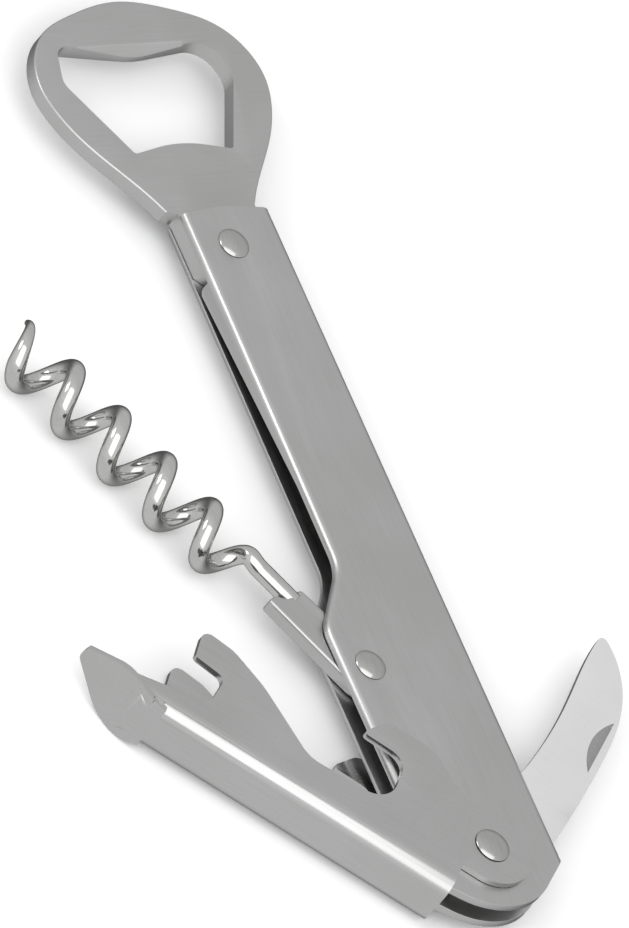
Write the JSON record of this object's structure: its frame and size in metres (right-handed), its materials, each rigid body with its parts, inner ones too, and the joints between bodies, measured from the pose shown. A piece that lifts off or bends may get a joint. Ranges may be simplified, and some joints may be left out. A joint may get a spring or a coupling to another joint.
{
  "type": "lever corkscrew",
  "caption": "Folding steel waiter's corkscrew: channel handle, right-handed worm, boot lever with lip steps, foil knife and cap opener.",
  "frame": {"origin": "middle of the object's outline in plan, in the plane that it rests on", "axes": "+X along the handle from the lever rivet to the bottle opener, +Y across the handle towards the worm and lever, +Z out of the front plate"},
  "size_m": [0.1542, 0.092, 0.0104],
  "materials": {
    "satin_steel": "brushed satin",
    "bright_steel": "bright rolled",
    "polished_wire": "polished",
    "blade_steel": "ground bright"
  },
  "bodies": {
    "handle": {"handle_channel": "satin_steel", "bottle_opener": "satin_steel", "opener_rivet": "bright_steel", "worm_rivet": "bright_steel", "lever_rivet": "bright_steel", "knife_washer_front": "bright_steel", "knife_washer_back": "bright_steel"},
    "worm_arm": {"worm": "polished_wire", "worm_bracket": "satin_steel"},
    "lever_arm": {"lever": "satin_steel"},
    "knife": {"knife_blade": "blade_steel"}
  },
  "joints": [
    {"name": "lever_hinge", "type": "hinge", "parent": "handle", "child": "lever_arm", "pos_m": [-0.06765, -0.00675, 0.0052], "axis": [0, 0, 1], "range_deg": [-39.5, 85]},
    {"name": "worm_hinge", "type": "hinge", "parent": "handle", "child": "worm_arm", "pos_m": [-0.03605, -0.0007, 0.0052], "axis": [0, 0, 1], "range_deg": [-24.5, 52.2]},
    {"name": "knife_hinge", "type": "hinge", "parent": "handle", "child": "knife", "pos_m": [-0.06765, -0.00675, 0.0052], "axis": [0, 0, 1], "range_deg": [-52, 35.5]}
  ],
  "couplings": [
    {"joint": "worm_hinge", "follows": "lever_hinge", "ratio": 0.61}
  ]
}
